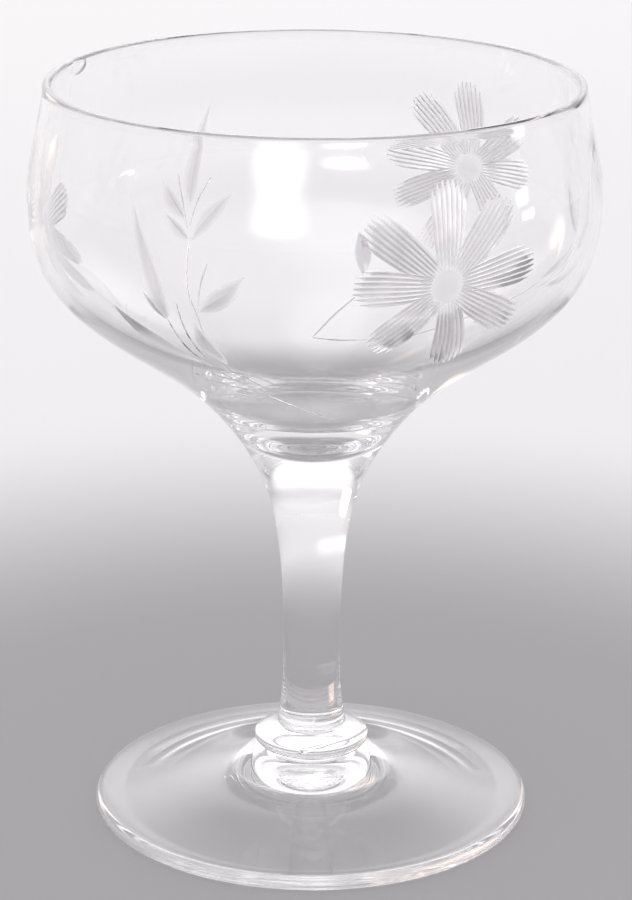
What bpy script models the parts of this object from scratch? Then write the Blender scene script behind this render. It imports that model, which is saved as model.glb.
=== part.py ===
"""Stemmed sherbet glass: a bowl, a stem, a collar and a foot of clear glass, fused in one upright line.

Metres, +Z up. The origin is on the table, under the middle of the foot.
Each piece is a turned solid, drawn as a profile in the XZ plane above its own lower face.
"""

import math

import bmesh
import bpy
from mathutils import Vector
from mathutils.geometry import interpolate_bezier

# Heights of the pieces, from the table up
FOOT_RISE = 0.0106
COLLAR_HEIGHT = 0.0028
STEM_LENGTH = 0.0437
BOWL_HEIGHT = 0.0660
FUSE_GAP = 0.0003  # seam between two fused pieces

# Bowl; its heights are above its seat on the stem
RIM_RADIUS = 0.0430
RIM_WALL = 0.0013
BELLY_RADIUS = 0.0459
BELLY_HEIGHT = 0.0472
BELLY_WALL = 0.0016
SHOULDER_RADIUS = 0.0200
SHOULDER_HEIGHT = 0.0156
SHOULDER_WALL = 0.0022
BOWL_FLOOR = 0.0064  # glass under the lowest point of the hollow
SEAT_RADIUS = 0.0084  # shared by the bowl's seat and the stem's upper end

# Stem; its heights are above its lower end
WAIST_RADIUS = 0.00475
WAIST_HEIGHT = 0.0140
STEM_END_RADIUS = 0.00575
STEM_END_ROUND = 0.0006  # rounded lower edge, where the stem meets the collar

# Collar
COLLAR_RADIUS = 0.0096
COLLAR_EDGE_HEIGHT = 0.0012  # widest point, above the collar's base
COLLAR_BASE_RADIUS = 0.0088

# Foot
FOOT_RADIUS = 0.0365
FOOT_EDGE = 0.0026  # thickness of the rounded outer edge
FOOT_SEAT_MARGIN = 0.0004  # flat left around the collar's base
REST_RING_RADIUS = 0.0320  # inner radius of the flat ring that stands on the table
FOOT_HOLLOW = 0.0056  # depth of the dished underside

# Directions of the profiles' curves, in degrees: 0 runs outwards, 90 runs up
SEAT_ANGLE = 67
SHOULDER_ANGLE = 41
RIM_ANGLE = 97
STEM_END_ANGLE = 101
COLLAR_TOP_ANGLE = -14
COLLAR_BASE_ANGLE = -160
FOOT_TOP_ANGLE = -40
FOOT_EDGE_ANGLE = -8
HOLLOW_ANGLE = 167

# Facets
WIDE_SIDES = 60  # around the bowl and the foot
SLIM_SIDES = 36  # around the stem and the collar
LONG_STEPS = 9  # along a long curve
SHORT_STEPS = 5  # along a short one
ROUND_STEPS = 4  # along a rounded edge
SMOOTH_LIMIT = math.radians(35)

GLASS_COLOUR = (0.94, 0.93, 0.95, 1.0)
GLASS_ROUGHNESS = 0.02
GLASS_INDEX = 1.52


def at(radius, height):
    """A point of a profile."""
    return Vector((radius, 0, height))


def heading(degrees):
    """A direction in a profile's plane."""
    turn = math.radians(degrees)
    return Vector((math.cos(turn), 0, math.sin(turn)))


def sweep(start, start_angle, end, end_angle, pulls, steps):
    """Points of one smooth curve; a pull is a handle's length as a share of the chord."""
    chord = (end - start).length
    leave = start + heading(start_angle) * chord * pulls[0]
    arrive = end - heading(end_angle) * chord * pulls[1]
    return interpolate_bezier(start, leave, arrive, end, steps + 1)


def rounding(centre, radius, start_angle, end_angle):
    """Points of a circular arc."""
    span = end_angle - start_angle
    turns = [start_angle + span * step / ROUND_STEPS for step in range(ROUND_STEPS + 1)]
    return [centre + heading(turn) * radius for turn in turns]


def clear_glass(name):
    """A material for one piece, drawn from the same pot of glass as the others."""
    material = bpy.data.materials.new(name)
    material.use_nodes = True
    shader = material.node_tree.nodes["Principled BSDF"]
    shader.inputs["Base Color"].default_value = GLASS_COLOUR
    shader.inputs["Roughness"].default_value = GLASS_ROUGHNESS
    shader.inputs["Metallic"].default_value = 0.0
    shader.inputs["Transmission Weight"].default_value = 1.0
    shader.inputs["IOR"].default_value = GLASS_INDEX
    return material


def turned(name, profile, sides, height, parent):
    """A solid of revolution about Z, standing at a height, from a profile that starts and ends on the axis."""
    form = bmesh.new()
    points = [form.verts.new(point) for point in profile]
    lines = [form.edges.new(pair) for pair in zip(points, points[1:])]
    bmesh.ops.spin(
        form,
        geom=points + lines,
        cent=(0, 0, 0),
        axis=(0, 0, 1),
        angle=math.tau,
        steps=sides,
        use_merge=True,
    )
    bmesh.ops.remove_doubles(form, verts=form.verts, dist=1e-6)
    bmesh.ops.recalc_face_normals(form, faces=form.faces)
    mesh = bpy.data.meshes.new(name)
    form.to_mesh(mesh)
    form.free()
    mesh.shade_smooth()
    mesh.set_sharp_from_angle(angle=SMOOTH_LIMIT)
    piece = bpy.data.objects.new(name, mesh)
    piece.data.materials.append(clear_glass(name + "_glass"))
    piece.location.z = height
    piece.parent = parent
    bpy.context.collection.objects.link(piece)
    return piece


def bowl_profile():
    """The bowl, from its seat up the outside, over the rounded lip and down the hollow."""
    lip = RIM_WALL / 2
    lip_height = BOWL_HEIGHT - lip
    shoulder = at(SHOULDER_RADIUS, SHOULDER_HEIGHT)
    belly = at(BELLY_RADIUS, BELLY_HEIGHT)
    rim = at(RIM_RADIUS, lip_height)
    inner_shoulder = shoulder + heading(SHOULDER_ANGLE + 90) * SHOULDER_WALL
    inner_belly = at(BELLY_RADIUS - BELLY_WALL, BELLY_HEIGHT)
    inner_rim = at(RIM_RADIUS - RIM_WALL, lip_height)
    hollow = at(0, BOWL_FLOOR)
    seat = at(SEAT_RADIUS, 0)
    outside = sweep(seat, SEAT_ANGLE, shoulder, SHOULDER_ANGLE, (0.20, 0.42), LONG_STEPS)
    outside += sweep(shoulder, SHOULDER_ANGLE, belly, 90, (0.43, 0.45), LONG_STEPS)[1:]
    outside += sweep(belly, 90, rim, RIM_ANGLE, (0.38, 0.44), SHORT_STEPS)[1:]
    over = rounding(at(RIM_RADIUS - lip, lip_height), lip, 0, 180)[1:]
    inside = sweep(inner_rim, RIM_ANGLE + 180, inner_belly, -90, (0.44, 0.38), SHORT_STEPS)[1:]
    inside += sweep(inner_belly, -90, inner_shoulder, SHOULDER_ANGLE + 180, (0.45, 0.43), LONG_STEPS)[1:]
    inside += sweep(inner_shoulder, SHOULDER_ANGLE + 180, hollow, 180, (0.35, 0.35), LONG_STEPS)[1:]
    return [at(0, 0)] + outside + over + inside


def stem_profile():
    """The stem, from its rounded lower end past the waist to the bowl's seat."""
    tread = at(STEM_END_RADIUS - STEM_END_ROUND, STEM_END_ROUND)
    waist = at(WAIST_RADIUS, WAIST_HEIGHT)
    top = at(SEAT_RADIUS, STEM_LENGTH)
    end = rounding(tread, STEM_END_ROUND, -90, 0)
    flare = sweep(end[-1], STEM_END_ANGLE, waist, 90, (0.31, 0.41), SHORT_STEPS)[1:]
    flare += sweep(waist, 90, top, SEAT_ANGLE, (0.48, 0.22), LONG_STEPS)[1:]
    return [at(0, 0)] + end + flare + [at(0, STEM_LENGTH)]


def collar_profile():
    """The collar, a flattened button whose top slopes away from the stem."""
    base = at(COLLAR_BASE_RADIUS, 0)
    edge = at(COLLAR_RADIUS, COLLAR_EDGE_HEIGHT)
    top = at(STEM_END_RADIUS - STEM_END_ROUND, COLLAR_HEIGHT)
    slope = sweep(top, COLLAR_TOP_ANGLE, edge, -90, (0.55, 0.22), SHORT_STEPS)
    under = sweep(edge, -90, base, COLLAR_BASE_ANGLE, (0.35, 0.35), ROUND_STEPS)[1:]
    return [at(0, COLLAR_HEIGHT)] + slope + under + [at(0, 0)]


def foot_profile():
    """The foot, a spread disc with a rounded edge, a flat ring to stand on and a dished underside."""
    edge = FOOT_EDGE / 2
    edge_centre = at(FOOT_RADIUS - edge, edge)
    seat = at(COLLAR_BASE_RADIUS + FOOT_SEAT_MARGIN, FOOT_RISE)
    ring = at(REST_RING_RADIUS, 0)
    round_edge = rounding(edge_centre, edge, FOOT_EDGE_ANGLE + 90, -90)
    spread = sweep(seat, FOOT_TOP_ANGLE, round_edge[0], FOOT_EDGE_ANGLE, (0.18, 0.45), LONG_STEPS)
    hollow = sweep(ring, HOLLOW_ANGLE, at(0, FOOT_HOLLOW), 180, (0.35, 0.45), LONG_STEPS)
    return [at(0, FOOT_RISE)] + spread + round_edge[1:] + hollow


def build():
    """Clear the scene and stand the four pieces on one another."""
    for old in list(bpy.data.objects):
        bpy.data.objects.remove(old, do_unlink=True)
    glass = bpy.data.objects.new("sherbet_glass", None)
    bpy.context.collection.objects.link(glass)
    collar_base = FOOT_RISE + FUSE_GAP
    stem_base = collar_base + COLLAR_HEIGHT + FUSE_GAP
    bowl_base = stem_base + STEM_LENGTH + FUSE_GAP
    turned("foot", foot_profile(), WIDE_SIDES, 0, glass)
    turned("foot_collar", collar_profile(), SLIM_SIDES, collar_base, glass)
    turned("stem", stem_profile(), SLIM_SIDES, stem_base, glass)
    turned("bowl", bowl_profile(), WIDE_SIDES, bowl_base, glass)


build()
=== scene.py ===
"""Cut sherbet glass: the finish of its bowl, stem, collar and foot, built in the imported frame.

One Geometry Nodes tree turns the four pieces from their outlines. The flowers, leaves and hairlines are
drawn flat, wrapped round the bowl by further trees, and taken out of its wall as a cutter's wheel would.
"""

import logging
import math
from abc import ABC, abstractmethod
from dataclasses import dataclass, replace
from enum import Enum
from typing import ClassVar, Iterator, Optional, Union

import bmesh
import bpy
import numpy as np
from mathutils import Matrix, Vector
from mathutils.geometry import interpolate_bezier


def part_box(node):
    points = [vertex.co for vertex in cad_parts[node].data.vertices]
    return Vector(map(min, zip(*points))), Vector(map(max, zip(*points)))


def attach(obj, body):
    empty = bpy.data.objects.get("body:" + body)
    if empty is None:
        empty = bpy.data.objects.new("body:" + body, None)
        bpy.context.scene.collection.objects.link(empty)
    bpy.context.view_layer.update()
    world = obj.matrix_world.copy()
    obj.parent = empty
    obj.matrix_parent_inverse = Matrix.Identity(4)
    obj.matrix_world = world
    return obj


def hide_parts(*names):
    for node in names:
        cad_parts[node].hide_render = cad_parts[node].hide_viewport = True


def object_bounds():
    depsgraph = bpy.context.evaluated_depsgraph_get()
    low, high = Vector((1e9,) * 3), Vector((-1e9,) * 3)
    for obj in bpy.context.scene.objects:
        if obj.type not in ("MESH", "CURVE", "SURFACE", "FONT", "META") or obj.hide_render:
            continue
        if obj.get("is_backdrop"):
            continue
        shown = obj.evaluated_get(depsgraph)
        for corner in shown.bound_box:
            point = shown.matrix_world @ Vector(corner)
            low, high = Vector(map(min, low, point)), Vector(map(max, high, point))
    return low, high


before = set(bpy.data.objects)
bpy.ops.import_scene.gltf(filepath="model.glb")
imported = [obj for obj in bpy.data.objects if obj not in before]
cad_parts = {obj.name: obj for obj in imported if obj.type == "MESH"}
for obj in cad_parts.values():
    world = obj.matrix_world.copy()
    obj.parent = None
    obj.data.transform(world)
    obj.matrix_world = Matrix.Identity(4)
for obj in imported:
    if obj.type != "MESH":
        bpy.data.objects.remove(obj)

CAD_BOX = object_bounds()
BODY = "root"
MM = 0.001
WELD = 0.001 * MM  # points that lie closer than this are one
SHARP_CORNER = math.radians(32)  # a surface that bends more than this has an edge
# The depth also sets the cuts' painted shade, darker where a cut is deep.
DEPTH = "depth"  # how far a point lies under the uncut outline

Colour = tuple[float, float, float]
Spot = tuple[float, float]

log = logging.getLogger("sherbet_glass")


class Term:
    """One output socket of a node, which takes part in Python arithmetic."""

    def __init__(self, graph: "Graph", socket: Optional[bpy.types.NodeSocket]) -> None:
        """Wrap a socket.

        Args:
            graph: the tree that takes the Math nodes of an expression.
            socket: the output that is wrapped, or None for a node without one.
        """
        self.graph = graph
        self.socket = socket

    def out(self, name: str) -> "Term":
        """Another output of the same node."""
        return Term(self.graph, self.socket.node.outputs[name])

    def maths(self, operation: str, *others: "Value") -> "Term":
        """Put this socket through a Math node.

        Args:
            operation: the Math node's operation.
            others: its further operands.

        Returns:
            The node's result.
        """
        return self.graph.add("ShaderNodeMath", {"operation": operation}, dict(enumerate((self, *others))))

    def _swapped(self, operation: str, other: "Value") -> "Term":
        """The same with this socket as the second operand."""
        return self.graph.add("ShaderNodeMath", {"operation": operation}, {0: other, 1: self})

    def __add__(self, other: "Value") -> "Term":
        """Sum."""
        return self.maths("ADD", other)

    def __radd__(self, other: "Value") -> "Term":
        """Sum, reflected."""
        return self._swapped("ADD", other)

    def __sub__(self, other: "Value") -> "Term":
        """Difference."""
        return self.maths("SUBTRACT", other)

    def __rsub__(self, other: "Value") -> "Term":
        """Difference, reflected."""
        return self._swapped("SUBTRACT", other)

    def __mul__(self, other: "Value") -> "Term":
        """Product."""
        return self.maths("MULTIPLY", other)

    def __rmul__(self, other: "Value") -> "Term":
        """Product, reflected."""
        return self._swapped("MULTIPLY", other)

    def __truediv__(self, other: "Value") -> "Term":
        """Quotient."""
        return self.maths("DIVIDE", other)

    def __rtruediv__(self, other: "Value") -> "Term":
        """Quotient, reflected."""
        return self._swapped("DIVIDE", other)

    def __mod__(self, other: "Value") -> "Term":
        """Remainder."""
        return self.maths("MODULO", other)

    def __rmod__(self, other: "Value") -> "Term":
        """Remainder, reflected."""
        return self._swapped("MODULO", other)

    def __pow__(self, other: "Value") -> "Term":
        """Power."""
        return self.maths("POWER", other)

    def __rpow__(self, other: "Value") -> "Term":
        """Power, reflected."""
        return self._swapped("POWER", other)

    def __gt__(self, other: "Value") -> "Term":
        """1 where this is greater, else 0."""
        return self.maths("GREATER_THAN", other)

    def __lt__(self, other: "Value") -> "Term":
        """1 where this is less, else 0, which is also what a number's > asks for."""
        return self.maths("LESS_THAN", other)


Value = Union[Term, float, int]


class Graph:
    """A node tree of any kind, filled by expressions."""

    def __init__(self, tree: bpy.types.NodeTree) -> None:
        """Take an empty or cleared tree."""
        self.tree = tree

    def add(self, kind: str, settings: Optional[dict] = None, links: Optional[dict] = None) -> Term:
        """Make a node.

        Args:
            kind: the node's type.
            settings: its own properties, and under "stops" a colour ramp's (place, colour) pairs.
            links: values or terms for its inputs, by name or number.

        Returns:
            The node's first live output.
        """
        node = self.tree.nodes.new(kind)
        for name, value in (settings or {}).items():
            if name == "stops":
                self._set_stops(node.color_ramp, value)
            else:
                setattr(node, name, value)
        for key, value in (links or {}).items():
            socket = node.inputs[key]
            if isinstance(value, Term):
                self.tree.links.new(value.socket, socket)
            else:
                socket.default_value = value
        return Term(self, next((socket for socket in node.outputs if socket.enabled), None))

    @staticmethod
    def _set_stops(ramp: bpy.types.ColorRamp, stops: list) -> None:
        """Give a colour ramp its stops.

        Args:
            ramp: a ramp with two stops.
            stops: two or more (place, colour) pairs, in order.
        """
        while len(ramp.elements) < len(stops):
            ramp.elements.new(1.0)
        for element, (place, colour) in zip(ramp.elements, stops):
            element.position = place
            element.color = (*colour, 1.0)

    def parts(self, vector: Term) -> tuple[Term, Term, Term]:
        """A vector's three components."""
        split = self.add("ShaderNodeSeparateXYZ", links={0: vector})
        return split, split.out("Y"), split.out("Z")

    def vector(self, x: Value, y: Value, z: Value) -> Term:
        """A vector of three components."""
        return self.add("ShaderNodeCombineXYZ", links={0: x, 1: y, 2: z})

    def fade(self, value: Term, low: float, high: float) -> Term:
        """0 below one value, 1 above another, and smooth between them."""
        ends = {"Value": value, "From Min": low, "From Max": high}
        return self.add("ShaderNodeMapRange", {"interpolation_type": "SMOOTHSTEP"}, ends)


class SocketKind(Enum):
    """Kinds of named input that a Geometry Nodes tree takes."""

    COUNT = "NodeSocketInt"
    NUMBER = "NodeSocketFloat"
    MATERIAL = "NodeSocketMaterial"
    OBJECT = "NodeSocketObject"


class GrowthTree(Graph):
    """A Geometry Nodes tree that grows a shape from a seed mesh."""

    def __init__(self, name: str) -> None:
        """Start the tree with its seed and its material.

        Args:
            name: what the tree is called.
        """
        super().__init__(bpy.data.node_groups.new(name, "GeometryNodeTree"))
        self.identifiers: dict[str, str] = {}
        self.tree.interface.new_socket("Geometry", in_out="OUTPUT", socket_type="NodeSocketGeometry")
        self.tree.interface.new_socket("Seed", in_out="INPUT", socket_type="NodeSocketGeometry")
        self.entry = self.tree.nodes.new("NodeGroupInput")
        self.seed = Term(self, self.entry.outputs["Seed"])
        self.material = self.take("Material", SocketKind.MATERIAL)

    def take(self, name: str, kind: SocketKind = SocketKind.NUMBER) -> Term:
        """Add a named input.

        Args:
            name: what the input is called.
            kind: what it holds.

        Returns:
            The input's value inside the tree.
        """
        item = self.tree.interface.new_socket(name, in_out="INPUT", socket_type=kind.value)
        self.identifiers[name] = item.identifier
        return Term(self, self.entry.outputs[name])

    def take_each(self, *names: str) -> list[Term]:
        """Add several named numbers."""
        return [self.take(name) for name in names]

    def shape(self, name: str) -> Term:
        """The geometry of an object, which is a named input."""
        holder = self.take(name, SocketKind.OBJECT)
        return self.add("GeometryNodeObjectInfo", links={"Object": holder}).out("Geometry")

    def attribute(self, name: str) -> Term:
        """A number that each point of the seed or of the seats holds."""
        return self.add("GeometryNodeInputNamedAttribute", {"data_type": "FLOAT"}, {"Name": name})

    def position(self) -> Term:
        """Where a point lies."""
        return self.add("GeometryNodeInputPosition")

    def give(self, geometry: Term) -> None:
        """End the tree.

        Args:
            geometry: what the tree gives, once it is realized and has its material.
        """
        whole = self.add("GeometryNodeRealizeInstances", links={"Geometry": geometry})
        dressed = self.add("GeometryNodeSetMaterial", links={"Geometry": whole, "Material": self.material})
        self.add("NodeGroupOutput", links={"Geometry": dressed})

    def grow(self, name: str, seed: bpy.types.Mesh, values: dict[str, object]) -> bpy.types.Mesh:
        """Run the tree.

        Args:
            name: the new mesh's name.
            seed: the mesh that the tree starts from.
            values: the tree's inputs, by name.

        Returns:
            The result as a plain mesh, with no modifier and no instances.
        """
        holder = stand(seed)
        modifier = holder.modifiers.new(name, "NODES")
        modifier.node_group = self.tree
        for label, value in values.items():
            modifier[self.identifiers[label]] = value
        mesh = plain_mesh(holder)
        holder.modifiers.remove(modifier)
        bpy.data.objects.remove(holder)
        mesh.name = name
        return mesh


class TurningTree(GrowthTree):
    """Turns an outline about Z: one ring of points for each point of the seed."""

    def __init__(self) -> None:
        """Build the tree."""
        super().__init__("turned_glass")
        sides = self.take("Sides", SocketKind.COUNT)
        rings = self.add("GeometryNodeAttributeDomainSize", {"component": "MESH"}, {"Geometry": self.seed})
        grid = self.add("GeometryNodeMeshGrid", links={"Vertices X": sides + 1, "Vertices Y": rings})
        index = self.add("GeometryNodeInputIndex")
        outline = self.add(
            "GeometryNodeSampleIndex",
            {"data_type": "FLOAT_VECTOR"},
            {"Geometry": self.seed, "Value": self.position(), "Index": index % rings},
        )
        radius, _, height = self.parts(outline)
        turn = (index / rings).maths("FLOOR") / sides * math.tau
        place = self.vector(radius * turn.maths("COSINE"), radius * turn.maths("SINE"), height)
        shape = self.add("GeometryNodeSetPosition", links={"Geometry": grid, "Position": place})
        closed = self.add("GeometryNodeMergeByDistance", links={"Geometry": shape, "Distance": WELD})
        self.give(closed)


class WrappedTree(GrowthTree):
    """Lays a flat cutter on a turned wall, once for each seat.

    The cutter's X runs round the wall, its Y up along the wall and its Z out of it.
    """

    def lay(self, flat: Term) -> None:
        """End the tree with copies of a flat shape, wrapped round the wall.

        Args:
            flat: the cutter, drawn about the middle of its motif.
        """
        curve = self.add("GeometryNodeMeshToCurve", links={"Mesh": self.shape("Outline")})
        copies = {"Points": self.shape("Seats"), "Instance": flat}
        copied = self.add("GeometryNodeInstanceOnPoints", links=copies)
        whole = self.add("GeometryNodeRealizeInstances", links={"Geometry": copied})
        around, up, proud = self.parts(self.position())
        length = self.attribute("rise") + up
        spot = self.add("GeometryNodeSampleCurve", {"mode": "LENGTH"}, {"Curves": curve, "Length": length})
        radius, _, height = self.parts(spot.out("Position"))
        lean, _, climb = self.parts(spot.out("Tangent"))
        turn = self.attribute("bearing") + around / radius
        reach = radius + proud * climb
        x = reach * turn.maths("SINE")
        y = reach * turn.maths("COSINE") * -1
        place = self.vector(x, y, height - proud * lean)
        self.give(self.add("GeometryNodeSetPosition", links={"Geometry": whole, "Position": place}))


class PetalTree(WrappedTree):
    """Ribbed petal cutters, one for each point of the seed, as a ribbed wheel leaves them."""

    TIP_POWER = 4
    LEAST_HUMP = -0.5
    RIB_RISE = 0.25

    def __init__(self) -> None:
        """Build the tree."""
        super().__init__("petal_cutters")
        ribs = self.take("Ribs", SocketKind.COUNT)
        stations = self.take("Stations", SocketKind.COUNT)
        half_width, waist, start = self.take_each("Half width", "Waist", "Start")
        depth, relief = self.take_each("Depth", "Relief")
        roundness, clearance = self.take_each("Roundness", "Clearance")
        counts = {"Vertices X": stations, "Vertices Y": ribs * 2 + 1, "Vertices Z": 2}
        block = self.add("GeometryNodeMeshCube", links=counts)
        x, y, z = self.parts(self.position())
        # The block runs from -0.5 to 0.5, along from 0 to 1 and across from -1 to 1
        along = x + 0.5
        across = y * 2
        valley = ((across + 1) * ribs).maths("ROUND") % 2
        spread = waist + (1 - waist) * (1 - (1 - along) ** 2)
        end = along * (1 + roundness * across * across)
        hump = 1 - (end * 2 - 1).maths("ABSOLUTE") ** self.TIP_POWER
        rise = (along / self.RIB_RISE).maths("MINIMUM", 1)
        cut = depth * hump.maths("MAXIMUM", self.LEAST_HUMP) + relief * rise * (valley - 0.5)
        top = z > 0
        level = clearance * top - cut * (1 - top)
        place = self.vector(start + (1 - start) * along, across * half_width * spread, level)
        petal = self.add("GeometryNodeSetPosition", links={"Geometry": block, "Position": place})
        copies = {
            "Points": self.seed,
            "Instance": petal,
            "Rotation": self.vector(0, 0, self.attribute("turn")),
            "Scale": self.vector(self.attribute("reach"), 1, 1),
        }
        self.lay(self.add("GeometryNodeInstanceOnPoints", links=copies))


class GrooveTree(WrappedTree):
    """Mitred grooves on smooth curves through the seed's points.

    A groove swells to its widest place and tapers off at both ends.
    """

    OVERCUT = 0.6
    LEAST_WIDTH = 0.02 * MM

    def __init__(self) -> None:
        """Build the tree."""
        super().__init__("mitred_grooves")
        half_width, steepness = self.take_each("Half width", "Steepness")
        lean, fullness = self.take_each("Lean", "Fullness")
        stations = self.take("Stations", SocketKind.COUNT)
        line = self.add("GeometryNodeMeshToCurve", links={"Mesh": self.seed})
        smooth = self.add("GeometryNodeCurveSplineType", {"spline_type": "CATMULL_ROM"}, {"Curve": line})
        spacing = {"Curve": smooth, "Count": stations}
        even = self.add("GeometryNodeResampleCurve", {"mode": "COUNT"}, spacing)
        level = self.add("GeometryNodeSetCurveNormal", {"mode": "Z_UP"}, {"Curve": even})
        share = self.add("GeometryNodeSplineParameter").out("Factor")
        swell = (share ** lean * math.pi).maths("SINE").maths("MAXIMUM", 0) ** fullness
        edge = 1 + self.OVERCUT
        above = steepness * -self.OVERCUT
        wedge = self.add(
            "GeometryNodeCurvePrimitiveQuadrilateral",
            {"mode": "POINTS"},
            {
                "Point 1": self.vector(0, steepness, 0),
                "Point 2": self.vector(edge, above, 0),
                "Point 3": self.vector(0, above, 0),
                "Point 4": self.vector(-edge, above, 0),
            },
        )
        swept = {
            "Curve": level,
            "Profile Curve": wedge,
            "Scale": (half_width * swell).maths("MAXIMUM", self.LEAST_WIDTH),
            "Fill Caps": True,
        }
        self.lay(self.add("GeometryNodeCurveToMesh", links=swept))


class DishTree(WrappedTree):
    """A round or oval dished cut at the middle of a motif, from a flattened ball."""

    SEGMENTS = 48
    RINGS = 24

    def __init__(self) -> None:
        """Build the tree."""
        super().__init__("dishes")
        radius, stretch, drop, lift = self.take_each("Radius", "Stretch", "Drop", "Lift")
        counts = {"Segments": self.SEGMENTS, "Rings": self.RINGS, "Radius": 1.0}
        ball = self.add("GeometryNodeMeshUVSphere", links=counts)
        x, y, z = self.parts(self.position())
        place = self.vector(x * radius * stretch, y * radius, z * drop + lift)
        self.lay(self.add("GeometryNodeSetPosition", links={"Geometry": ball, "Position": place}))


def numbers(
    items: bpy.types.bpy_prop_collection, name: str, width: int, kind: type = np.float32
) -> np.ndarray:
    """One property of many mesh items.

    Args:
        items: the vertices, loops or faces.
        name: the property.
        width: how many numbers each item has.
        kind: the kind of number.

    Returns:
        An array with a row for each item.
    """
    flat = np.empty(len(items) * width, kind)
    items.foreach_get(name, flat)
    return flat.reshape(-1, width)


def plain_mesh(holder: bpy.types.Object) -> bpy.types.Mesh:
    """Turn an object's evaluated shape into a mesh of its own.

    Args:
        holder: the object, with its modifiers.

    Returns:
        A plain mesh with its faces outwards.
    """
    depsgraph = bpy.context.evaluated_depsgraph_get()
    shape = holder.evaluated_get(depsgraph)
    mesh = bpy.data.meshes.new_from_object(shape, preserve_all_data_layers=True, depsgraph=depsgraph)
    mesh.calc_loop_triangles()
    corners = numbers(mesh.vertices, "co", 3)[numbers(mesh.loop_triangles, "vertices", 3, np.int32)]
    volume = (corners[:, 0] * np.cross(corners[:, 1], corners[:, 2])).sum()
    if volume < 0:
        mesh.flip_normals()
    return mesh


def seed_mesh(name: str, spots: list, joined: bool = False, **held: list) -> bpy.types.Mesh:
    """Points that a tree grows a shape from.

    Args:
        name: the mesh's name.
        spots: where the points lie.
        joined: True to join each point to the next by an edge.
        held: the numbers that the points hold, one list for each attribute.

    Returns:
        A mesh without faces.
    """
    mesh = bpy.data.meshes.new(name)
    edges = [(at, at + 1) for at in range(len(spots) - 1)] if joined else []
    mesh.from_pydata(spots, edges, [])
    for label, values in held.items():
        mesh.attributes.new(label, "FLOAT", "POINT").data.foreach_set("value", values)
    return mesh


def stand(data: bpy.types.ID) -> bpy.types.Object:
    """Put a mesh, a lamp or a camera into the scene.

    Args:
        data: what the object shows.

    Returns:
        A new object of the same name.
    """
    holder = bpy.data.objects.new(data.name, data)
    bpy.context.scene.collection.objects.link(holder)
    return holder


def point(radius: float, height: float) -> Vector:
    """A point of an outline."""
    return Vector((radius, 0, height))


def heading(degrees: float) -> Vector:
    """A direction in an outline's plane: 0 runs outwards and 90 up."""
    turn = math.radians(degrees)
    return Vector((math.cos(turn), 0, math.sin(turn)))


@dataclass(frozen=True)
class Bend:
    """How a smooth stretch of an outline runs.

    It has its directions in degrees at both ends, the lengths of its two handles as shares of its chord,
    and the number of its straight steps.
    """

    leave: float
    arrive: float
    pulls: tuple[float, float]
    steps: int

    def back(self) -> "Bend":
        """The same stretch, drawn the other way."""
        return Bend(self.arrive + 180, self.leave + 180, self.pulls[::-1], self.steps)


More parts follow.
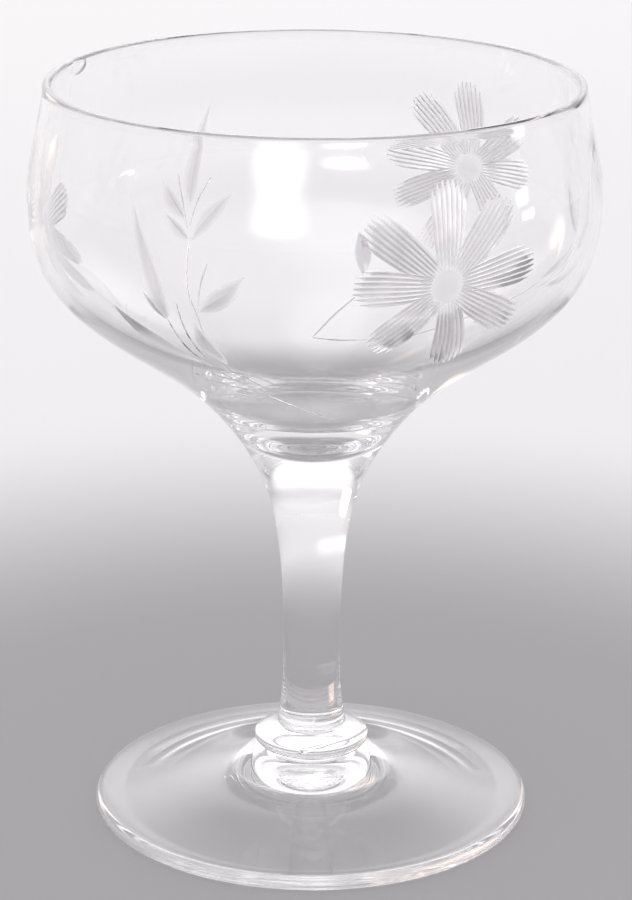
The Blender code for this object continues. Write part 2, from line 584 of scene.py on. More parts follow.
class Outline:
    """A profile in the XZ plane, drawn so that the glass lies on its left."""

    def __init__(self, start: Vector) -> None:
        """Set the pen down."""
        self.points = [start]

    def line(self, end: Vector) -> "Outline":
        """Draw straight to a point."""
        self.points.append(end)
        return self

    def sweep(self, bend: Bend, end: Vector) -> "Outline":
        """Draw one smooth curve.

        Args:
            bend: how the curve runs.
            end: where it ends.

        Returns:
            The outline itself.
        """
        start = self.points[-1]
        chord = (end - start).length
        first = start + heading(bend.leave) * chord * bend.pulls[0]
        second = end - heading(bend.arrive) * chord * bend.pulls[1]
        self.points += interpolate_bezier(start, first, second, end, bend.steps + 1)[1:]
        return self

    def arc(self, centre: Vector, radius: float, first: float, last: float, steps: int) -> "Outline":
        """Draw a circular arc, after a straight line to its start where the pen isn't there yet.

        Args:
            centre: the arc's centre.
            radius: its radius.
            first: the direction from the centre to its start, in degrees.
            last: the direction from the centre to its end, in degrees.
            steps: how many straight stretches it gets.

        Returns:
            The outline itself.
        """
        turns = [first + (last - first) * step / steps for step in range(steps + 1)]
        spots = [centre + heading(turn) * radius for turn in turns]
        at_start = (spots[0] - self.points[-1]).length < WELD
        self.points += spots[1:] if at_start else spots
        return self

    def mesh(self, name: str, closed: bool) -> bpy.types.Mesh:
        """The outline as a chain of edges.

        Args:
            name: the mesh's name.
            closed: True to run on to the axis at both ends.

        Returns:
            A mesh without faces.
        """
        chain = list(self.points)
        if closed and chain[0].x > WELD:
            chain.insert(0, point(0, chain[0].z))
        if closed and chain[-1].x > WELD:
            chain.append(point(0, chain[-1].z))
        return seed_mesh(name, chain, joined=True)

    def _stretches(self) -> tuple[np.ndarray, np.ndarray, np.ndarray]:
        """Measure the stretches between the outline's points.

        Returns:
            The points as rows of radius and height, and each stretch's direction and length.
        """
        chain = np.array([(spot.x, spot.z) for spot in self.points])
        steps = np.diff(chain, axis=0)
        lengths = np.linalg.norm(steps, axis=1, keepdims=True)
        return chain, steps / lengths, lengths

    def nearest(self, places: np.ndarray) -> tuple[np.ndarray, np.ndarray]:
        """The stretch of the outline that lies nearest to each place.

        Args:
            places: points on or near the turned surface.

        Returns:
            The stretches' numbers, and the gaps to them.
        """
        chain, ways, lengths = self._stretches()
        flat = np.column_stack((np.hypot(places[:, 0], places[:, 1]), places[:, 2]))
        found = np.zeros(len(flat), int)
        least = np.full(len(flat), np.inf)
        for at, (start, way, length) in enumerate(zip(chain, ways, lengths[:, 0])):
            share = np.clip((flat - start) @ way, 0, length)
            gap = np.linalg.norm(flat - start - share[:, None] * way, axis=1)
            found[gap < least] = at
            least = np.minimum(gap, least)
        return found, least

    def normals(self, middles: np.ndarray, places: np.ndarray) -> np.ndarray:
        """Normals of the turned surface.

        Args:
            middles: for each place, the middle of the face that it belongs to.
            places: points on the surface.

        Returns:
            One unit normal for each place.
        """
        chain, ways, lengths = self._stretches()
        smooth = (ways[:-1] * ways[1:]).sum(axis=1, keepdims=True) > math.cos(SHARP_CORNER)
        joined = ways[:-1] + ways[1:]
        first = np.vstack((ways[:1], np.where(smooth, joined, ways[1:])))
        last = np.vstack((np.where(smooth, joined, ways[:-1]), ways[-1:]))
        first /= np.linalg.norm(first, axis=1, keepdims=True)
        last /= np.linalg.norm(last, axis=1, keepdims=True)
        nearest, _ = self.nearest(middles)
        radius = np.hypot(places[:, 0], places[:, 1])
        spots = np.column_stack((radius, places[:, 2])) - chain[nearest]
        share = np.clip((spots * ways[nearest]).sum(axis=1) / lengths[nearest, 0], 0, 1)[:, None]
        tangent = first[nearest] * (1 - share) + last[nearest] * share
        spoke = places[:, :2] / np.maximum(radius, WELD)[:, None]
        normal = np.column_stack((spoke * tangent[:, 1:], -tangent[:, :1]))
        return normal / np.linalg.norm(normal, axis=1, keepdims=True)


class Shader(Graph):
    """The node tree of one material."""

    def __init__(self, name: str) -> None:
        """Start an empty material.

        Args:
            name: what the material is called.
        """
        self.material = bpy.data.materials.new(name)
        self.material.use_nodes = True
        super().__init__(self.material.node_tree)
        self.tree.nodes.clear()

    def place(self) -> Term:
        """Object coordinates."""
        return self.add("ShaderNodeTexCoord").out("Object")

    def noise(self, span: float, detail: float = 2.0) -> Term:
        """Soft noise on Object coordinates.

        Args:
            span: the size of its patches, in metres.
            detail: how many finer layers it has.

        Returns:
            Values about 0.5.
        """
        sockets = {"Vector": self.place(), "Scale": 1 / span, "Detail": detail}
        return self.add("ShaderNodeTexNoise", links=sockets)

    def attribute(self, name: str) -> Term:
        """A number that the mesh holds for each of its points."""
        return self.add("ShaderNodeAttribute", {"attribute_name": name}).out("Fac")

    def mixed(self, share: Value, first: Colour, second: Colour) -> Term:
        """A colour between two, by a share; the node's sockets 6 and 7 are its colours."""
        sockets = {0: share, 6: (*first, 1.0), 7: (*second, 1.0)}
        return self.add("ShaderNodeMix", {"data_type": "RGBA"}, sockets)

    def bump(self, height: Term, distance: float, **under: Term) -> Term:
        """A bumped normal, from a height of 0 to 1 that stands for a distance in metres."""
        return self.add("ShaderNodeBump", links={"Height": height, "Distance": distance, **under})

    def surface(self, shader: Term) -> bpy.types.Material:
        """End the material with a shader."""
        self.add("ShaderNodeOutputMaterial", links={"Surface": shader})
        return self.material


@dataclass(frozen=True)
class Glass:
    """Lead glass: polished, or ground by a wheel, with painted shade that darkens its cuts where they are
    deep.
    """

    name: str
    tint: Colour = (0.99, 0.987, 0.991)
    groove_shade_tint: Optional[Colour] = None
    groove_shade_depths: tuple[float, float] = (0.08 * MM, 0.40 * MM)
    index: float = 1.54
    polish: float = 0.0
    smear: float = 0.02
    smear_span: float = 14 * MM
    smear_detail: float = 4.0
    smear_edges: tuple[float, float] = (0.45, 0.75)
    wave: float = 0.05 * MM
    wave_span: float = 16 * MM
    wave_detail: float = 1.0
    grain: float = 0.0
    grain_span: float = 0.12 * MM
    body: float = 1.0
    shade: Colour = (0.95, 0.945, 0.95)

    def material(self) -> bpy.types.Material:
        """Build the material.

        Returns:
            Glass whose polish varies a little, which lamps shine through.
        """
        shader = Shader(self.name)
        colour = (*self.tint, 1.0)
        # Painted shade: a cut face turns darker and greyer the deeper it lies under the outline.
        if self.groove_shade_tint:
            groove_shade_share = shader.fade(shader.attribute(DEPTH), *self.groove_shade_depths)
            colour = shader.mixed(groove_shade_share, self.tint, self.groove_shade_tint)
        patches = shader.fade(shader.noise(self.smear_span, self.smear_detail), *self.smear_edges)
        roughness = self.polish + self.smear * patches
        normal = shader.bump(shader.noise(self.wave_span, self.wave_detail), self.wave)
        if self.grain:
            normal = shader.bump(shader.noise(self.grain_span), self.grain, Normal=normal)
        sockets = {
            "Base Color": colour,
            "Roughness": roughness,
            "IOR": self.index,
            "Transmission Weight": self.body,
            "Normal": normal,
        }
        glass = shader.add("ShaderNodeBsdfPrincipled", links=sockets)
        open_way = shader.add("ShaderNodeBsdfTransparent", links={"Color": (*self.shade, 1.0)})
        path = shader.add("ShaderNodeLightPath")
        for ray in ("Is Shadow Ray", "Is Diffuse Ray"):
            glass = shader.add("ShaderNodeMixShader", links={0: path.out(ray), 1: glass, 2: open_way})
        return shader.surface(glass)


@dataclass(frozen=True)
class FusedSeam:
    """The joint inside fused glass, which nobody sees."""

    name: str

    def material(self) -> bpy.types.Material:
        """Build the material."""
        shader = Shader(self.name)
        return shader.surface(shader.add("ShaderNodeBsdfPrincipled", links={"Alpha": 0.0}))


class Finish(Enum):
    """Kinds of surface on the glass."""

    CLEAR = "polished_glass"
    SEAM = "fused_seam"
    RIBBED = "ribbed_cut"
    DISHED = "dished_cut"
    MITRED = "mitred_cut"
    HAIRLINE = "hairline_cut"
    LAPPED = "lapped_fold"  # the collar's crease and the rim's flake
    WORN = "worn_ring"


class Workshop:
    """What every piece is made with: the materials and the trees."""

    def __init__(self) -> None:
        """Prepare the finishes and the Geometry Nodes trees."""
        white = (0.985, 0.98, 0.985)
        # The colours below are painted shade for the bottoms of the cuts, reached where a cut is deepest.
        mitre_groove_shade = (0.80, 0.78, 0.805)
        dish_shade = (0.86, 0.85, 0.87)
        hairline_shade = (0.62, 0.60, 0.63)
        rib_groove_shade = (0.72, 0.70, 0.725)
        finishes = (
            Glass(Finish.CLEAR.value),
            FusedSeam(Finish.SEAM.value),
            Glass(Finish.RIBBED.value, white, rib_groove_shade, polish=0.17, smear=0.06, grain=0.003 * MM, body=0.68),
            Glass(Finish.DISHED.value, white, dish_shade, polish=0.3, smear=0.1, grain=0.008 * MM, body=0.62),
            Glass(Finish.MITRED.value, white, mitre_groove_shade, polish=0.24, smear=0.06, body=0.6),
            Glass(Finish.HAIRLINE.value, white, hairline_shade, (0.0, 0.12 * MM), polish=0.15, smear=0.05, body=0.8),
            Glass(Finish.LAPPED.value),
            Glass(Finish.WORN.value, polish=0.06, smear=0.08, smear_span=9 * MM),
        )
        self.materials = {Finish(finish.name): finish.material() for finish in finishes}
        self.turning = TurningTree()
        self.petals = PetalTree()
        self.grooves = GrooveTree()
        self.dishes = DishTree()


def polish(mesh: bpy.types.Mesh, outline: Outline) -> None:
    """Give clear faces the normals of the uncut outline, and each point its depth below that outline.

    Args:
        mesh: a turned mesh, cut or not.
        outline: the profile that it was turned from.
    """
    mesh.shade_smooth()
    mesh.set_sharp_from_angle(angle=SHARP_CORNER)
    places = numbers(mesh.vertices, "co", 3)
    _, gaps = outline.nearest(places)
    mesh.attributes.new(DEPTH, "FLOAT", "POINT").data.foreach_set("value", gaps.astype(np.float32))
    corners = numbers(mesh.corner_normals, "vector", 3)
    owners = numbers(mesh.loops, "vertex_index", 1, np.int32)[:, 0]
    sizes = numbers(mesh.polygons, "loop_total", 1, np.int32)[:, 0]
    finishes = numbers(mesh.polygons, "material_index", 1, np.int32)[:, 0]
    middles = np.repeat(numbers(mesh.polygons, "center", 3), sizes, axis=0)
    clear = np.repeat(finishes == mesh.materials.find(Finish.CLEAR.value), sizes)
    corners[clear] = outline.normals(middles[clear], places[owners[clear]])
    mesh.normals_split_custom_set(corners.tolist())


def carve(mesh: bpy.types.Mesh, cutter: bpy.types.Mesh) -> bpy.types.Mesh:
    """Take a cutter out of a mesh.

    Args:
        mesh: the glass.
        cutter: closed shapes that don't overlap one another.

    Returns:
        The cut mesh, whose new faces have the cutter's material.
    """
    glass, tool = stand(mesh), stand(cutter)
    modifier = glass.modifiers.new("cut", "BOOLEAN")
    modifier.operation = "DIFFERENCE"
    modifier.solver = "MANIFOLD"
    modifier.material_mode = "TRANSFER"
    modifier.object = tool
    cut = plain_mesh(glass)
    cut.name = mesh.name
    for holder in (glass, tool):
        bpy.data.objects.remove(holder)
    return cut


def clear_splinters(mesh: bpy.types.Mesh) -> None:
    """Weld points that lie together, and remove the loose bits that cutters leave.

    Args:
        mesh: a cut piece, of which the largest body stays.
    """
    form = bmesh.new()
    form.from_mesh(mesh)
    bmesh.ops.remove_doubles(form, verts=form.verts, dist=WELD)
    unseen = set(form.verts)
    bodies = []
    while unseen:
        front = [unseen.pop()]
        body = list(front)
        while front:
            spot = front.pop()
            near = {edge.other_vert(spot) for edge in spot.link_edges} & unseen
            unseen -= near
            front += near
            body += near
        bodies.append(body)
    for splinter in sorted(bodies, key=len)[:-1]:
        bmesh.ops.delete(form, geom=splinter, context="VERTS")
    form.to_mesh(mesh)
    form.free()


def dress_level(
    mesh: bpy.types.Mesh, finish: bpy.types.Material, height: float, inner: float, outer: float
) -> None:
    """Give a finish to the level faces of a ring.

    Args:
        mesh: a turned mesh.
        finish: the material.
        height: the faces' height.
        inner: the ring's inner radius.
        outer: its outer radius.
    """
    mesh.materials.append(finish)
    places = numbers(mesh.vertices, "co", 3)
    radii = np.hypot(places[:, 0], places[:, 1])
    inside = (abs(places[:, 2] - height) < WELD) & (radii > inner - WELD) & (radii < outer + WELD)
    for face in mesh.polygons:
        if inside[list(face.vertices)].all():
            face.material_index = len(mesh.materials) - 1


def joint_height(lower: str, upper: str) -> float:
    """The height at which two nodes of the frame are fused, halfway across the gap between them."""
    return (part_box(lower)[1].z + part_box(upper)[0].z) / 2


class Mitre(Enum):
    """Kinds of stroke that a wheel's edge cuts."""

    LEAF = (0.44, 0.9, Finish.MITRED)
    SHADED_LEAF = (0.46, 0.9, Finish.HAIRLINE)
    HAIR = (0.8, 0.25, Finish.HAIRLINE)
    LAP = (0.6, 0.5, Finish.LAPPED)

    def __init__(self, steepness: float, fullness: float, finish: Finish) -> None:
        """Name the parts of the value.

        Args:
            steepness: the groove's depth as a share of half its width.
            fullness: the power of its swell, near 1 for a leaf and less for a more even line.
            finish: the surface that the wheel leaves.
        """
        self.steepness = steepness
        self.fullness = fullness
        self.finish = finish


@dataclass(frozen=True)
class Stroke:
    """One stroke of the wheel, on a smooth curve through spots of its motif's plane, in millimetres."""

    mitre: Mitre
    half_width: float
    spots: tuple[Spot, ...]
    peak: float = 0.5
    stations: int = 33

    def cutter(self, workshop: Workshop, place: dict[str, object]) -> bpy.types.Mesh:
        """Make the groove's cutter.

        Args:
            workshop: the materials and trees.
            place: the inputs that lay it on a wall.

        Returns:
            One closed shape for each seat.
        """
        # The lean is the power that moves the middle of the swell to its peak
        values = {
            "Material": workshop.materials[self.mitre.finish],
            "Half width": self.half_width * MM,
            "Steepness": self.mitre.steepness,
            "Lean": math.log(0.5) / math.log(self.peak),
            "Fullness": self.mitre.fullness,
            "Stations": self.stations,
        }
        seed = seed_mesh("stroke", [(x * MM, y * MM, 0) for x, y in self.spots], joined=True)
        return workshop.grooves.grow("groove", seed, values | place)


@dataclass(frozen=True)
class Dish:
    """A shallow hollow, round or stretched along the wall's circle."""

    SUNK: ClassVar[float] = 0.5  # share of the flattened ball's half height that cuts

    finish: Finish
    radius: float
    depth: float
    stretch: float = 1.0

    def cutter(self, workshop: Workshop, place: dict[str, object]) -> bpy.types.Mesh:
        """Make the hollow's cutter, a flattened ball whose middle lies above the wall.

        Args:
            workshop: the materials and trees.
            place: the inputs that lay it on a wall.

        Returns:
            One closed shape for each seat.
        """
        drop = self.depth / self.SUNK
        lift = drop - self.depth
        values = {
            "Material": workshop.materials[self.finish],
            "Radius": self.radius / math.sqrt(1 - (lift / drop) ** 2),
            "Stretch": self.stretch,
            "Drop": drop,
            "Lift": lift,
        }
        return workshop.dishes.grow("dish", seed_mesh("dish", []), values | place)


def leaf(half_width: float, *spots: Spot, peak: float = 0.45) -> Stroke:
    """A leaf, from its base to its tip."""
    return Stroke(Mitre.LEAF, half_width, spots, peak)


def hairline(*spots: Spot, half_width: float = 0.16) -> Stroke:
    """A hairline."""
    return Stroke(Mitre.HAIR, half_width, spots)


@dataclass(frozen=True)
class Seat:
    """A motif's place on a wall: degrees round from the front, and metres up along the wall."""

    bearing: float
    rise: float


@dataclass(frozen=True)
class Motif:
    """Strokes or dishes about one middle, which are cut at each seat."""

    seats: tuple[Seat, ...]
    strokes: tuple[Union[Stroke, Dish], ...] = ()

    def cutters(self, workshop: Workshop, place: dict[str, object]) -> Iterator[bpy.types.Mesh]:
        """Make the motif's cutters, one after another.

        Args:
            workshop: the materials and trees.
            place: the inputs that lay a cutter on a wall.

        Returns:
            The cutters in the order in which they cut.
        """
        for stroke in self.strokes:
            yield stroke.cutter(workshop, place)

    def cut(self, mesh: bpy.types.Mesh, wall: bpy.types.Object, workshop: Workshop) -> bpy.types.Mesh:
        """Cut the motif at all its seats.

        Args:
            mesh: the glass so far.
            wall: the outline of the surface that is cut.
            workshop: the materials and trees.

        Returns:
            The cut glass.
        """
        bearings = [math.radians(seat.bearing) for seat in self.seats]
        rises = [seat.rise for seat in self.seats]
        seats = stand(seed_mesh("seats", [(0, 0, 0)] * len(self.seats), bearing=bearings, rise=rises))
        for cutter in self.cutters(workshop, {"Outline": wall, "Seats": seats}):
            mesh = carve(mesh, cutter)
        bpy.data.objects.remove(seats)
        return mesh


@dataclass(frozen=True)
class Flower(Motif):
    """A cut flower: ribbed petals about a dished middle.

    Each petal is given by its turn in degrees and its reach in millimetres.
    """

    petals: tuple[tuple[float, float], ...] = ()
    ribs: int = 7
    stations: int = 25
    half_width: float = 3.05 * MM
    waist: float = 0.5
    start: float = 0.09
    depth: float = 0.26 * MM
    relief: float = 0.28 * MM
    roundness: float = 0.22
    clearance: float = 0.8 * MM
    middle: Dish = Dish(Finish.DISHED, 3.3 * MM, 0.36 * MM)

    def cutters(self, workshop: Workshop, place: dict[str, object]) -> Iterator[bpy.types.Mesh]:
        """Make the petals, then the dished middle, then the strokes beside them.

        Args:
            workshop: the materials and trees.
            place: the inputs that lay a cutter on a wall.

        Returns:
            The cutters in the order in which they cut.
        """
        values = {
            "Material": workshop.materials[Finish.RIBBED],
            "Ribs": self.ribs,
            "Stations": self.stations,
            "Half width": self.half_width,
            "Waist": self.waist,
            "Start": self.start,
            "Depth": self.depth,
            "Relief": self.relief,
            "Roundness": self.roundness,
            "Clearance": self.clearance,
        }
        for turn, reach in self.petals:
            seed = seed_mesh("petal", [(0, 0, 0)], turn=[math.radians(turn)], reach=[reach * MM])
            yield workshop.petals.grow("petal", seed, values | place)
        yield self.middle.cutter(workshop, place)
        yield from super().cutters(workshop, place)


FLOWERS = Flower(
    seats=(Seat(25.5, 59.0 * MM), Seat(143.2, 58.4 * MM)),
    petals=(
        (7, 16.5), (48, 16.3), (88, 16.0), (140, 16.1),
        (177, 14.6), (224, 14.5), (282, 16.4), (329, 15.4),
    ),
)

SIDE_FLOWER = replace(
    FLOWERS,
    seats=(Seat(-91.5, 57.2 * MM),),
    petals=(
        (28, 15.4), (78, 16.0), (128, 16.2), (177, 14.6),
        (224, 14.5), (264, 16.0), (304, 16.2), (340, 15.0),
    ),
    relief=0.17 * MM,
)

BUD = Motif(
    seats=FLOWERS.seats[:1],
    strokes=(
        Stroke(Mitre.SHADED_LEAF, 1.25, ((-13.3, 2.7), (-13.2, 6.1), (-13.7, 9.4))),
        hairline((-19.8, -7.4), (-17.3, -3.6), (-14.2, -0.4)),
        hairline((-19.8, -7.4), (-15.3, -8.0), (-10.6, -8.0)),
    ),
)

STALK = ((10.1, -18.9), (11.5, -24.5), (13.0, -28.5), (16.0, -34.5))

SPRAYS = Motif(
    seats=(Seat(-35.3, 54.2 * MM), Seat(84.7, 54.2 * MM)),
    strokes=(
        leaf(1.6, (4.5, -1.2), (1.8, 8.1), (-1.6, 17.9), peak=0.28),
        Stroke(Mitre.SHADED_LEAF, 0.5, ((4.3, -1.4), (2.5, 0.6), (0.9, 2.8))),
        leaf(1.5, (10.1, 0.8), (14.4, 3.6), (18.2, 7.1)),
        leaf(1.4, (11.1, -10.4), (9.7, -5.6), (9.0, -1.2)),
        leaf(1.5, (6.4, -10.7), (0.8, -6.4), (-5.8, -0.8)),
        hairline((6.7, 2.1), (7.2, -3.8), (8.1, -9.2)),
        hairline((12.4, 8.9), (11.0, 5.0), (10.15, 0.9)),
        hairline((4.5, -1.0), (5.9, -6.9), (8.1, -12.3)),
        hairline((1.8, -21.2), (5.2, -23.1), (8.1, -24.7), half_width=0.25),
        hairline((6.5, -15.2), (7.2, -19.5), (8.6, -23.9)),
        hairline((10.0, -9.9), *STALK, half_width=0.2),
    ),
)

FAR_SPRAY = Motif(
    seats=(Seat(-153.4, 52.4 * MM),),
    strokes=(
        leaf(1.3, (3.3, -2.1), (0.7, 7.2), (-2.4, 16.8), peak=0.3),
        leaf(1.4, (5.2, -5.0), (6.8, -1.2), (7.8, 2.9)),
        leaf(1.5, (5.1, -9.0), (-0.4, -4.6), (-5.5, -0.7)),
        leaf(1.1, (5.6, -8.6), (7.4, -6.2), (8.8, -3.4)),
        hairline((4.4, 4.3), (4.6, -1.5), (5.1, -6.9)),
        hairline((-2.1, 3.0), (1.6, -1.8), (4.5, -6.6)),
        hairline((5.4, -9.0), *STALK, half_width=0.2),
    ),
)

LAP = Motif(
    seats=(Seat(34.4, 2.5 * MM),),
    strokes=(
        Stroke(
            Mitre.LAP,
            0.45,
            ((-9.6, -1.7), (-6.8, -0.3), (-4.0, 0.7), (-0.8, 1.4), (3.4, 1.1), (7.3, 0.4), (10.5, -0.6)),
        ),
    ),
)

FLAKE = Motif(
    seats=(Seat(-112.5, 2.7 * MM),),
    strokes=(Dish(Finish.LAPPED, 1.5 * MM, 0.25 * MM, 1.75),),
)


@dataclass
class TurnedPiece(ABC):
    """One piece of turned glass, which stands for a node of the frame."""

    node: str
    sides: int
    motifs: tuple[Motif, ...] = ()

    @property
    def base(self) -> float:
        """The node's lowest height."""
        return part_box(self.node)[0].z

    @property
    def top(self) -> float:
        """The node's greatest height."""
        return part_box(self.node)[1].z

    @property
    def radius(self) -> float:
        """The node's greatest radius."""
        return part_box(self.node)[1].x

    @abstractmethod
    def outline(self) -> Outline:
        """The profile, from below, up the outside and back to the axis or a joint."""

    def wall(self) -> Outline:
        """The stretch of the profile that motifs are laid on."""
        return self.outline()

    def turn(self, workshop: Workshop) -> bpy.types.Mesh:
        """Turn the outline and mark the faces inside the joints.

        Args:
            workshop: the materials and trees.

        Returns:
            The piece's mesh, before any cutting.
        """
        outline = self.outline()
        values = {"Sides": self.sides, "Material": workshop.materials[Finish.CLEAR]}
        mesh = workshop.turning.grow(self.node, outline.mesh(self.node, closed=True), values)
        for end in (outline.points[0], outline.points[-1]):
            if end.x > WELD:
                dress_level(mesh, workshop.materials[Finish.SEAM], end.z, 0, end.x)
        return mesh

    def cut(self, mesh: bpy.types.Mesh, workshop: Workshop) -> bpy.types.Mesh:
        """Cut every motif out of the wall.

        Args:
            mesh: the turned piece.
            workshop: the materials and trees.

        Returns:
            The cut piece.
        """
        wall = stand(self.wall().mesh("wall", closed=False))
        for motif in self.motifs:
            mesh = motif.cut(mesh, wall, workshop)
        bpy.data.objects.remove(wall)
        return mesh

    def build(self, workshop: Workshop) -> bpy.types.Object:
        """Make the piece and put it in the frame.

        Args:
            workshop: the materials and trees.

        Returns:
            The finished piece.
        """
        mesh = self.cut(self.turn(workshop), workshop)
        clear_splinters(mesh)
        polish(mesh, self.outline())
        mesh.name = self.node + "_glass"
        piece = stand(mesh)
        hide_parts(self.node)
        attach(piece, BODY)
        return piece


@dataclass
class Foot(TurnedPiece):
    """The spread foot: a rounded edge, a flat ring to stand on and a dished underside."""

    node: str = "foot"
    sides: int = 192
    edge: float = 2.6 * MM
    rest_ring: float = 32.0 * MM
    hollow: float = 5.6 * MM
    seat_radius: float = 9.2 * MM
    joint_radius: float = 8.8 * MM
    underside: Bend = Bend(0, -13, (0.45, 0.35), 32)
    spread: Bend = Bend(172, 140, (0.45, 0.18), 40)
    edge_steps: int = 16

    def outline(self) -> Outline:
        """Draw the foot, from the middle of its underside round the edge to the collar's seat.

        Returns:
            The profile.
        """
        rounding = self.edge / 2
        pen = Outline(point(0, self.base + self.hollow))
        pen.sweep(self.underside, point(self.rest_ring, self.base))
        centre = point(self.radius - rounding, self.base + rounding)
        pen.arc(centre, rounding, -90, self.spread.leave - 90, self.edge_steps)
        pen.sweep(self.spread, point(self.seat_radius, self.top))
        return pen.line(point(self.joint_radius, joint_height("foot", "foot_collar")))

    def turn(self, workshop: Workshop) -> bpy.types.Mesh:
        """Turn the foot and roughen the ring that it stands on.

        Args:
            workshop: the materials and trees.

        Returns:
            The foot's mesh.
        """
        mesh = super().turn(workshop)
        dress_level(mesh, workshop.materials[Finish.WORN], self.base, self.rest_ring, self.radius)
        return mesh


@dataclass
class Collar(TurnedPiece):
    """The collar: a flattened button of glass, lapped over at its edge, whose top slopes off the stem."""

    node: str = "foot_collar"
    sides: int = 128
    motifs: tuple[Motif, ...] = (LAP,)
    base_radius: float = 8.8 * MM
    top_radius: float = 5.15 * MM
    edge_height: float = 1.2 * MM
    under: Bend = Bend(20, 90, (0.35, 0.35), 12)
    slope: Bend = Bend(90, 166, (0.22, 0.55), 24)

    def outline(self) -> Outline:
        """Draw the collar, from its joint with the foot to its joint with the stem.

        Returns:
            The profile.
        """
        pen = Outline(point(self.base_radius, joint_height("foot", "foot_collar")))
        pen.line(point(self.base_radius, self.base))
        pen.sweep(self.under, point(self.radius, self.base + self.edge_height))
        pen.sweep(self.slope, point(self.top_radius, self.top))
        return pen.line(point(self.top_radius, joint_height("foot_collar", "stem")))


@dataclass
class Stem(TurnedPiece):
    """The drawn stem: a rounded lower end, a waist and a long flare into the bowl."""

    node: str = "stem"
    sides: int = 128
    end_radius: float = 5.75 * MM
    end_round: float = 0.6 * MM
    end_steps: int = 12
    waist_radius: float = 4.75 * MM
    waist_height: float = 14.0 * MM
    narrowing: Bend = Bend(101, 90, (0.31, 0.41), 32)
    flare: Bend = Bend(90, 67, (0.48, 0.22), 56)

    def outline(self) -> Outline:
        """Draw the stem, from its joint with the collar to its joint with the bowl.

        Returns:
            The profile.
        """
        tread = self.end_radius - self.end_round
        pen = Outline(point(tread, joint_height("foot_collar", "stem")))
        pen.arc(point(tread, self.base + self.end_round), self.end_round, -90, 0, self.end_steps)
        pen.sweep(self.narrowing, point(self.waist_radius, self.base + self.waist_height))
        return pen.sweep(self.flare, point(self.radius, joint_height("stem", "bowl")))


@dataclass
class Bowl(TurnedPiece):
    """The blown bowl: three cut flowers and three leaf sprays round its wall, and a flake off its rim."""

    node: str = "bowl"
    sides: int = 192
    motifs: tuple[Motif, ...] = (FLOWERS, SIDE_FLOWER, BUD, SPRAYS, FAR_SPRAY)
    rim_radius: float = 43.0 * MM
    rim_wall: float = 1.3 * MM
    belly_height: float = 47.2 * MM
    belly_wall: float = 1.6 * MM
    shoulder_radius: float = 20.0 * MM
    shoulder_height: float = 15.6 * MM
    shoulder_wall: float = 2.2 * MM
    floor: float = 6.4 * MM
    seat_radius: float = 8.4 * MM
    flare: Bend = Bend(67, 41, (0.20, 0.42), 28)
    swell: Bend = Bend(41, 90, (0.43, 0.45), 40)
    tuck: Bend = Bend(90, 97, (0.38, 0.44), 16)
    bottom: Bend = Bend(41 + 180, 180, (0.35, 0.35), 30)
    lip_steps: int = 12

    @property
    def shoulder(self) -> Vector:
        """Where the flare runs out into the swell."""
        return point(self.shoulder_radius, self.base + self.shoulder_height)

    def wall(self) -> Outline:
        """Draw the outside, from the seat to the lip.

        Returns:
            The stretch of the profile that motifs are laid on.
        """
        pen = Outline(point(self.seat_radius, joint_height("stem", "bowl")))
        pen.sweep(self.flare, self.shoulder)
        pen.sweep(self.swell, point(self.radius, self.base + self.belly_height))
        return pen.sweep(self.tuck, point(self.rim_radius, self.top - self.rim_wall / 2))

    def lip(self) -> Outline:
        """Draw the rounded lip, from its outer edge over to the inside and down to the belly.

        Returns:
            The stretch of the profile that the flake is laid on.
        """
        rounding = self.rim_wall / 2
        middle = point(self.rim_radius - rounding, self.top - rounding)
        inner_belly = point(self.radius - self.belly_wall, self.base + self.belly_height)
        pen = Outline(middle + heading(0) * rounding).arc(middle, rounding, 0, 180, self.lip_steps)
        return pen.sweep(self.tuck.back(), inner_belly)

    def outline(self) -> Outline:
        """Draw the bowl, up the outside, over the rounded lip and down the hollow.

        Returns:
            The profile.
        """
        inner_shoulder = self.shoulder + heading(self.swell.leave + 90) * self.shoulder_wall
        pen = self.wall()
        pen.points += self.lip().points[1:]
        pen.sweep(self.swell.back(), inner_shoulder)
        return pen.sweep(self.bottom, point(0, self.base + self.floor))

    def cut(self, mesh: bpy.types.Mesh, workshop: Workshop) -> bpy.types.Mesh:
        """Cut the motifs out of the wall, and the flake out of the lip's inner edge.

        Args:
            mesh: the turned bowl.
            workshop: the materials and trees.

        Returns:
            The cut bowl.
        """
        lip = stand(self.lip().mesh("lip", closed=False))
        mesh = FLAKE.cut(super().cut(mesh, workshop), lip, workshop)
        bpy.data.objects.remove(lip)
        return mesh


@dataclass(frozen=True)
class Viewpoint:
    """Where the picture is taken from, and how long its lens is."""

    distance: float = 0.4830
    height: float = 0.2224
    yaw: float = 0.059
    pitch: float = 18.338
    roll: float = 0.383
    focal_pixels: float = 3099
    long_side_pixels: float = 900
    sensor: float = 36.0
    nearest: float = 0.01

    def build(self) -> None:
        """Make the scene's camera."""
        yaw, pitch, roll = (math.radians(angle) for angle in (self.yaw, self.pitch, self.roll))
        ahead = Vector((math.sin(yaw) * math.cos(pitch), math.cos(yaw) * math.cos(pitch), -math.sin(pitch)))
        right = ahead.cross(Vector((0, 0, 1))).normalized()
        up = right.cross(ahead)
        level = right * math.cos(roll) + up * math.sin(roll)
        upright = up * math.cos(roll) - right * math.sin(roll)
        lens = bpy.data.cameras.new("camera")
        lens.sensor_width = self.sensor
        lens.lens = self.focal_pixels / self.long_side_pixels * self.sensor
        lens.clip_start = self.nearest
        camera = stand(lens)
        turned = Matrix((level, upright, -ahead)).transposed().to_4x4()
        camera.matrix_world = Matrix.Translation((0, -self.distance, self.height)) @ turned
        bpy.context.scene.camera = camera


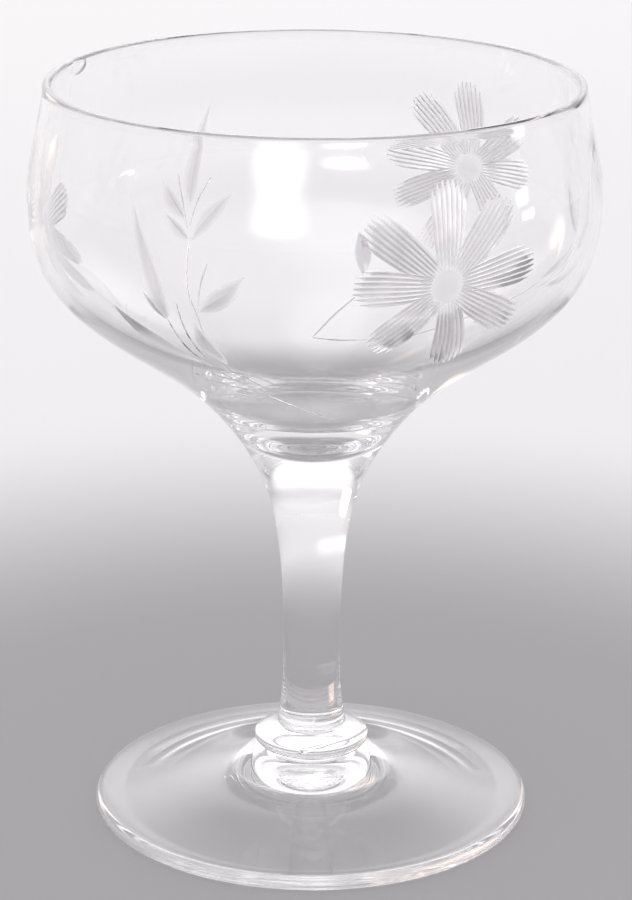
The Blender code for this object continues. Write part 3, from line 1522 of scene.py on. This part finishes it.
@dataclass(frozen=True)
class Softbox:
    """One soft lamp that looks at the glass, brightest in its middle."""

    name: str
    place: tuple[float, float, float]
    size: tuple[float, float]
    watts: float
    colour: Colour = (1.0, 1.0, 1.0)
    aim: tuple[float, float, float] = (0.0, 0.0, 0.07)
    core: float = 0.45
    squareness: float = 4

    def build(self) -> None:
        """Hang the lamp."""
        lamp = bpy.data.lights.new(self.name, "AREA")
        lamp.shape = "RECTANGLE"
        lamp.size, lamp.size_y = self.size
        lamp.energy = self.watts
        lamp.color = self.colour
        lamp.use_nodes = True
        lamp.node_tree.nodes.clear()
        graph = Graph(lamp.node_tree)
        across, up, _ = graph.parts(graph.add("ShaderNodeNewGeometry").out("Parametric"))
        sides = [(way * 2 - 1).maths("ABSOLUTE") ** self.squareness for way in (across, up)]
        edge = graph.fade((sides[0] + sides[1]) ** (1 / self.squareness), self.core, 1.0)
        glow = graph.add("ShaderNodeEmission", links={"Strength": 1 - edge})
        graph.add("ShaderNodeOutputLight", links={"Surface": glow})
        holder = stand(lamp)
        holder.location = self.place
        holder.rotation_euler = (Vector(self.aim) - Vector(self.place)).to_track_quat("-Z", "Y").to_euler()
        holder.visible_camera = False


@dataclass(frozen=True)
class Studio:
    """A pale floor with a painted pool of shade round the glass, soft lamps and a plain room."""

    floor_span: float = 2.6
    floor_drop: float = 0.2 * MM
    floor_roughness: float = 0.8
    floor_sheen: float = 0.2
    shade_pool_colour: Colour = (0.41, 0.404, 0.41)
    far_colour: Colour = (0.90, 0.89, 0.895)
    shade_pool_radius: float = 0.08
    shade_pool_edge: float = 0.22
    fade_from: float = 0.5
    fade_to: float = 1.2
    lamps: tuple[Softbox, ...] = (
        Softbox("overhead", (-0.2, -0.3, 1.3), (1.4, 1.4), 6.0),
        Softbox("back", (0.0, 1.1, 0.60), (2.8, 1.0), 10.0, core=0.1, squareness=2.5),
        Softbox("window", (-0.31, -1.25, 0.25), (0.66, 0.38), 5.2, core=0.05, squareness=2.5),
        Softbox("side", (1.3, 0.0, 0.06), (0.2, 0.1), 0.4),
        Softbox("warm", (-0.85, 1.1, 0.22), (0.5, 0.5), 2.0, (1.0, 0.74, 0.56)),
    )

    def lay_floor(self) -> None:
        """Lay the floor under the foot, painted darker round the glass as a pool of shade."""
        half = self.floor_span / 2
        mesh = bpy.data.meshes.new("floor")
        corners = [(-half, -half), (half, -half), (half, half), (-half, half)]
        mesh.from_pydata([(x, y, -self.floor_drop) for x, y in corners], [], [(0, 1, 2, 3)])
        shader = Shader("floor")
        x, y, _ = shader.parts(shader.place())
        reach = (x * x + y * y).maths("SQRT")
        # Painted shade: the floor is darkest near the glass and pales outwards to the far colour.
        share = shader.fade(reach, self.shade_pool_radius, self.shade_pool_edge)
        colour = shader.mixed(share, self.shade_pool_colour, self.far_colour)
        alpha = 1 - shader.fade(reach, self.fade_from, self.fade_to)
        sockets = {
            "Base Color": colour,
            "Roughness": self.floor_roughness,
            "Specular IOR Level": self.floor_sheen,
            "Alpha": alpha,
        }
        mesh.materials.append(shader.surface(shader.add("ShaderNodeBsdfPrincipled", links=sockets)))
        floor = stand(mesh)
        floor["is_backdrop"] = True

    def light_room(self) -> None:
        """Give the room its soft light: pale walls, a dimmer band above them and a bright ceiling."""
        world = bpy.data.worlds.new("studio")
        world.use_nodes = True
        world.node_tree.nodes.clear()
        graph = Graph(world.node_tree)
        _, _, height = graph.parts(graph.add("ShaderNodeTexCoord").out("Generated"))
        stops = [
            (0.0, (0.92, 0.905, 0.915)),
            (0.06, (0.90, 0.885, 0.895)),
            (0.2, (0.62, 0.60, 0.625)),
            (0.55, (0.60, 0.58, 0.61)),
            (0.85, (0.85, 0.85, 0.86)),
        ]
        sky = graph.add("ShaderNodeValToRGB", {"stops": stops}, {"Fac": height})
        light = graph.add("ShaderNodeBackground", links={"Color": sky})
        graph.add("ShaderNodeOutputWorld", links={"Surface": light})
        bpy.context.scene.world = world

    def build(self) -> None:
        """Set up the whole studio."""
        self.lay_floor()
        self.light_room()
        for lamp in self.lamps:
            lamp.build()
        scene = bpy.context.scene
        scene.view_settings.view_transform = "Standard"
        scene.cycles.max_bounces = 54
        scene.cycles.transmission_bounces = 46
        scene.cycles.transparent_max_bounces = 32
        scene.cycles.glossy_bounces = 46
        scene.cycles.caustics_reflective = False
        scene.cycles.caustics_refractive = False


def write_sizes() -> None:
    """Collect the CAD model's box and the visual model's box as lists."""
    boxes = {"cad": CAD_BOX, "visual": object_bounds()}
    {name: [list(corner) for corner in box] for name, box in boxes.items()}


def main() -> None:
    """Build the glass and its studio."""
    logging.basicConfig(level=logging.INFO, format="%(name)s: %(message)s")
    Viewpoint().build()
    workshop = Workshop()
    for piece in (Foot(), Collar(), Stem(), Bowl()):
        made = piece.build(workshop)
        log.info("%s: %d faces", made.name, len(made.data.polygons))
    Studio().build()
    write_sizes()


if __name__ == "__main__":
    main()
